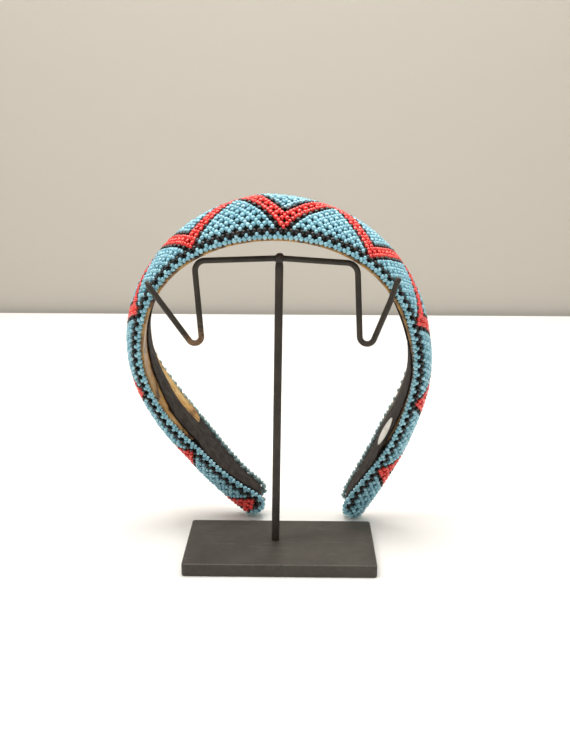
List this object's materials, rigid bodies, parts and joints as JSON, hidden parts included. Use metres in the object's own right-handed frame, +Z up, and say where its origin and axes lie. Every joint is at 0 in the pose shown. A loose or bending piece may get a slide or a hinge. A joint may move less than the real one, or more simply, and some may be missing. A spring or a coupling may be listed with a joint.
{
  "type": "beaded headband on a display stand",
  "caption": "Padded headband covered in netted seed beads with a zigzag pattern, standing open behind a steel plate and leaning on its bent-wire display stand.",
  "frame": {"origin": "centre of the plate's underside, in the plane of the table", "axes": "+Z up, +X to the right and +Y to the back as the picture shows it; the band stands behind the plate"},
  "size_m": [0.1577, 0.0946, 0.1795],
  "materials": {
    "bead_net": "opaque seed beads, glossy",
    "padded_core": "matt black cloth over padding",
    "hoop_lining": "mottled horn-like plastic, worn gloss",
    "inner_ribbon": "matt woven ribbon",
    "oval_label": "blank, satin",
    "stand_base": "dark paint, satin and lightly scratched",
    "stand_frame": "dark paint, rubbed brown at the bends"
  },
  "bodies": {
    "root": {"bead_net": "bead_net", "padded_core": "padded_core", "hoop_lining": "hoop_lining", "inner_ribbon": "inner_ribbon", "oval_label": "oval_label", "stand_base": "stand_base", "stand_frame": "stand_frame"}
  },
  "joints": []
}
